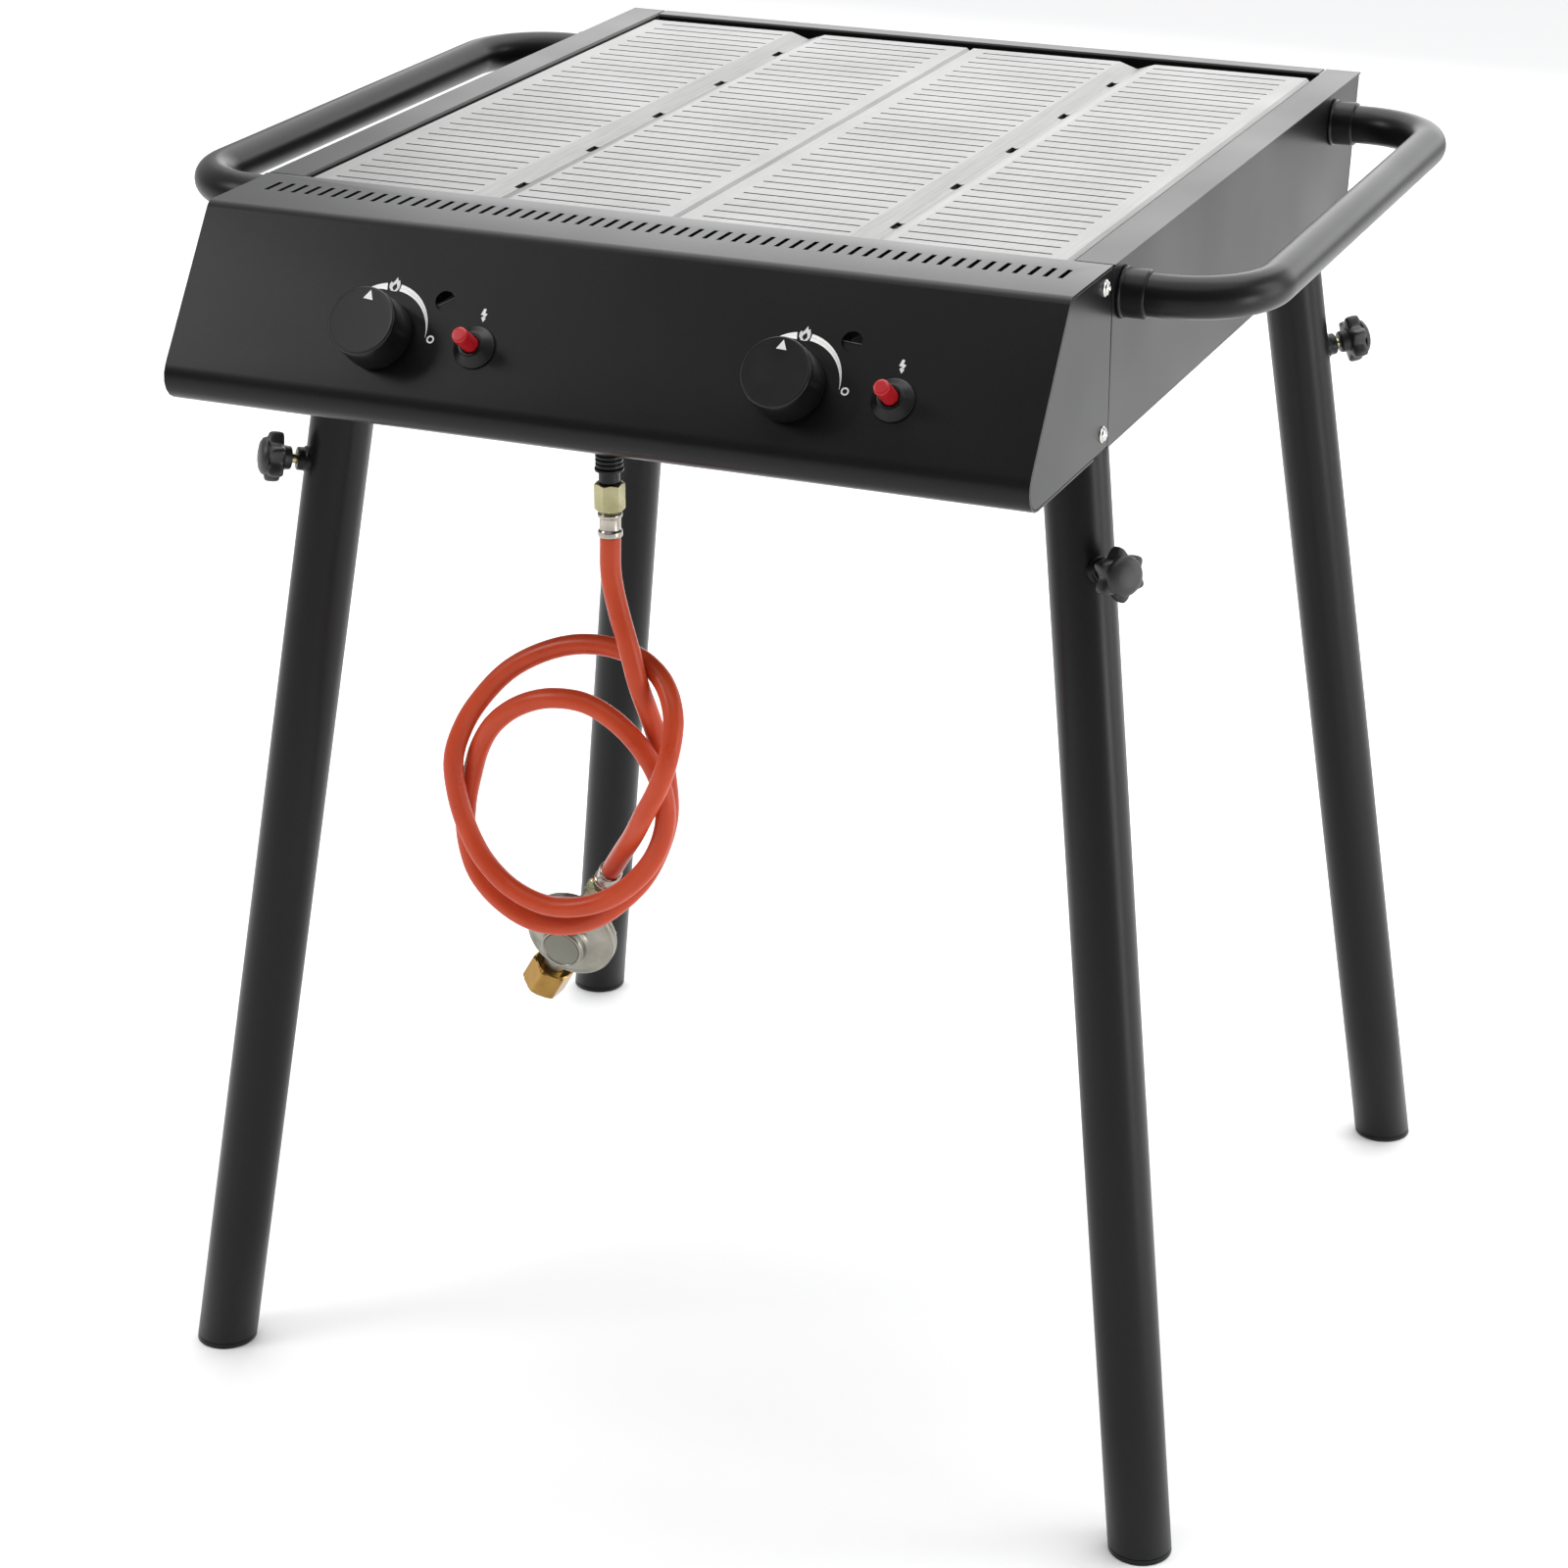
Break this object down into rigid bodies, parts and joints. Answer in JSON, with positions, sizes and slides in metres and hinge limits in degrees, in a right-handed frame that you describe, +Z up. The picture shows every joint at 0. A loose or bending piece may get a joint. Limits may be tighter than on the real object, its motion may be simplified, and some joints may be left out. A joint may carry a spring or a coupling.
{
  "type": "gas charbroiler grill",
  "caption": "Free-standing two-burner gas charbroiler: slotted plates over a sheet-metal body, slanted control panel, splayed clamped tube legs, side handles, gas hose and regulator.",
  "frame": {"origin": "on the floor, under the middle of the footprint of everything but the gas hose and what it carries", "axes": "+Z up, +X to the cook's right when facing the control panel, +Y from the control panel to the back"},
  "size_m": [0.86, 0.8798, 0.98],
  "materials": {
    "black_powder": "fine-textured powder coat",
    "galvanised": "matt zinc coating",
    "stainless": "brushed",
    "brass": "satin",
    "black_plastic": "satin",
    "red_plastic": "semi-gloss",
    "ceramic": "glazed white",
    "cast_aluminium": "as cast",
    "plated_steel": "yellow-tinged zinc plating",
    "satin_steel": "satin",
    "orange_rubber": "smooth, satin"
  },
  "bodies": {
    "grill": {"front_panel": "black_powder", "left_cheek": "black_powder", "right_cheek": "black_powder", "left_side_panel": "black_powder", "right_side_panel": "black_powder", "back_panel": "black_powder", "base_pan": "galvanised", "left_rail": "black_powder", "right_rail": "black_powder", "back_rail": "black_powder", "centre_bar": "galvanised", "heat_shield": "galvanised", "left_gas_valve": "brass", "left_igniter_collar": "black_plastic", "left_igniter_body": "black_plastic", "left_burner": "stainless", "left_spark_electrode": "ceramic", "right_gas_valve": "brass", "right_igniter_collar": "black_plastic", "right_igniter_body": "black_plastic", "right_burner": "stainless", "right_spark_electrode": "ceramic", "gas_manifold": "cast_aluminium", "left_handle": "black_powder", "right_handle": "black_powder", "front_left_stub": "galvanised", "front_right_stub": "galvanised", "rear_left_stub": "galvanised", "rear_right_stub": "galvanised", "gas_inlet": "black_powder", "hose_nut_upper": "plated_steel", "ferrule_upper": "satin_steel", "gas_hose": "orange_rubber", "ferrule_lower": "satin_steel", "hose_nut_lower": "plated_steel", "regulator": "cast_aluminium"},
    "left_grate": {"left_grate": "stainless"},
    "right_grate": {"right_grate": "stainless"},
    "drip_tray": {"drip_tray": "galvanised"},
    "left_push": {"left_push_sleeve": "brass"},
    "right_push": {"right_push_sleeve": "brass"},
    "left_knob": {"left_knob": "black_plastic", "left_spindle": "brass"},
    "right_knob": {"right_knob": "black_plastic", "right_spindle": "brass"},
    "left_button": {"left_igniter_button": "red_plastic"},
    "right_button": {"right_igniter_button": "red_plastic"},
    "union_nut": {"union_nut": "brass"},
    "front_left_leg": {"front_left_leg": "black_powder"},
    "front_left_stud": {"front_left_clamp_stud": "plated_steel"},
    "front_left_star_knob": {"front_left_star_knob": "black_plastic"},
    "front_right_leg": {"front_right_leg": "black_powder"},
    "front_right_stud": {"front_right_clamp_stud": "plated_steel"},
    "front_right_star_knob": {"front_right_star_knob": "black_plastic"},
    "rear_left_leg": {"rear_left_leg": "black_powder"},
    "rear_left_stud": {"rear_left_clamp_stud": "plated_steel"},
    "rear_left_star_knob": {"rear_left_star_knob": "black_plastic"},
    "rear_right_leg": {"rear_right_leg": "black_powder"},
    "rear_right_stud": {"rear_right_clamp_stud": "plated_steel"},
    "rear_right_star_knob": {"rear_right_star_knob": "black_plastic"}
  },
  "joints": [
    {"name": "left_grate_lift", "type": "slide", "parent": "grill", "child": "left_grate", "axis": [0, 0, 1], "range_m": [0, 0.15]},
    {"name": "right_grate_lift", "type": "slide", "parent": "grill", "child": "right_grate", "axis": [0, 0, 1], "range_m": [0, 0.15]},
    {"name": "drip_tray_slide", "type": "slide", "parent": "grill", "child": "drip_tray", "axis": [0, 1, 0], "range_m": [0, 0.55]},
    {"name": "left_knob_push", "type": "slide", "parent": "grill", "child": "left_push", "axis": [0, 0.8192, -0.5736], "range_m": [0, 0.003], "stiffness_N_per_m": 1500, "springref_m": -0.002},
    {"name": "left_knob_turn", "type": "hinge", "parent": "left_push", "child": "left_knob", "pos_m": [-0.1635, -0.39945, 0.91086], "axis": [0, -0.8192, 0.5736], "range_deg": [-96, 26]},
    {"name": "left_igniter_press", "type": "slide", "parent": "grill", "child": "left_button", "axis": [0, 0.8192, -0.5736], "range_m": [0, 0.006], "stiffness_N_per_m": 800, "springref_m": -0.002},
    {"name": "right_knob_push", "type": "slide", "parent": "grill", "child": "right_push", "axis": [0, 0.8192, -0.5736], "range_m": [0, 0.003], "stiffness_N_per_m": 1500, "springref_m": -0.002},
    {"name": "right_knob_turn", "type": "hinge", "parent": "right_push", "child": "right_knob", "pos_m": [0.146, -0.39945, 0.91086], "axis": [0, -0.8192, 0.5736], "range_deg": [-96, 26]},
    {"name": "right_igniter_press", "type": "slide", "parent": "grill", "child": "right_button", "axis": [0, 0.8192, -0.5736], "range_m": [0, 0.006], "stiffness_N_per_m": 800, "springref_m": -0.002},
    {"name": "front_left_leg_slide", "type": "slide", "parent": "grill", "child": "front_left_leg", "axis": [-0.1289, -0.1022, -0.9864], "range_m": [0, 0.15]},
    {"name": "front_left_stud_slide", "type": "slide", "parent": "front_left_leg", "child": "front_left_stud", "axis": [-0.7729, -0.6128, 0.1645], "range_m": [0, 0.0063]},
    {"name": "front_left_star_turn", "type": "hinge", "parent": "front_left_stud", "child": "front_left_star_knob", "pos_m": [-0.29889, -0.23056, 0.75076], "axis": [-0.7729, -0.6128, 0.1645], "range_deg": [0, 1800]},
    {"name": "front_right_leg_slide", "type": "slide", "parent": "grill", "child": "front_right_leg", "axis": [0.1289, -0.1022, -0.9864], "range_m": [0, 0.15]},
    {"name": "front_right_stud_slide", "type": "slide", "parent": "front_right_leg", "child": "front_right_stud", "axis": [0.7729, -0.6128, 0.1645], "range_m": [0, 0.0063]},
    {"name": "front_right_star_turn", "type": "hinge", "parent": "front_right_stud", "child": "front_right_star_knob", "pos_m": [0.29889, -0.23056, 0.75076], "axis": [0.7729, -0.6128, 0.1645], "range_deg": [0, 1800]},
    {"name": "rear_left_leg_slide", "type": "slide", "parent": "grill", "child": "rear_left_leg", "axis": [-0.1289, 0.1022, -0.9864], "range_m": [0, 0.15]},
    {"name": "rear_left_stud_slide", "type": "slide", "parent": "rear_left_leg", "child": "rear_left_stud", "axis": [-0.7729, 0.6128, 0.1645], "range_m": [0, 0.0063]},
    {"name": "rear_left_star_turn", "type": "hinge", "parent": "rear_left_stud", "child": "rear_left_star_knob", "pos_m": [-0.29889, 0.33788, 0.75076], "axis": [-0.7729, 0.6128, 0.1645], "range_deg": [0, 1800]},
    {"name": "rear_right_leg_slide", "type": "slide", "parent": "grill", "child": "rear_right_leg", "axis": [0.1289, 0.1022, -0.9864], "range_m": [0, 0.15]},
    {"name": "rear_right_stud_slide", "type": "slide", "parent": "rear_right_leg", "child": "rear_right_stud", "axis": [0.7729, 0.6128, 0.1645], "range_m": [0, 0.0063]},
    {"name": "rear_right_star_turn", "type": "hinge", "parent": "rear_right_stud", "child": "rear_right_star_knob", "pos_m": [0.29889, 0.33788, 0.75076], "axis": [0.7729, 0.6128, 0.1645], "range_deg": [0, 1800]},
    {"name": "union_nut_turn", "type": "hinge", "parent": "grill", "child": "union_nut", "pos_m": [-0.05974, -0.31796, 0.44282], "axis": [-0.5111, 0.157, -0.8451], "continuous": true}
  ],
  "couplings": [
    {"joint": "front_left_stud_slide", "follows": "front_left_star_turn", "m_per_rad": 0.00019894},
    {"joint": "front_right_stud_slide", "follows": "front_right_star_turn", "m_per_rad": 0.00019894},
    {"joint": "rear_left_stud_slide", "follows": "rear_left_star_turn", "m_per_rad": 0.00019894},
    {"joint": "rear_right_stud_slide", "follows": "rear_right_star_turn", "m_per_rad": 0.00019894}
  ]
}
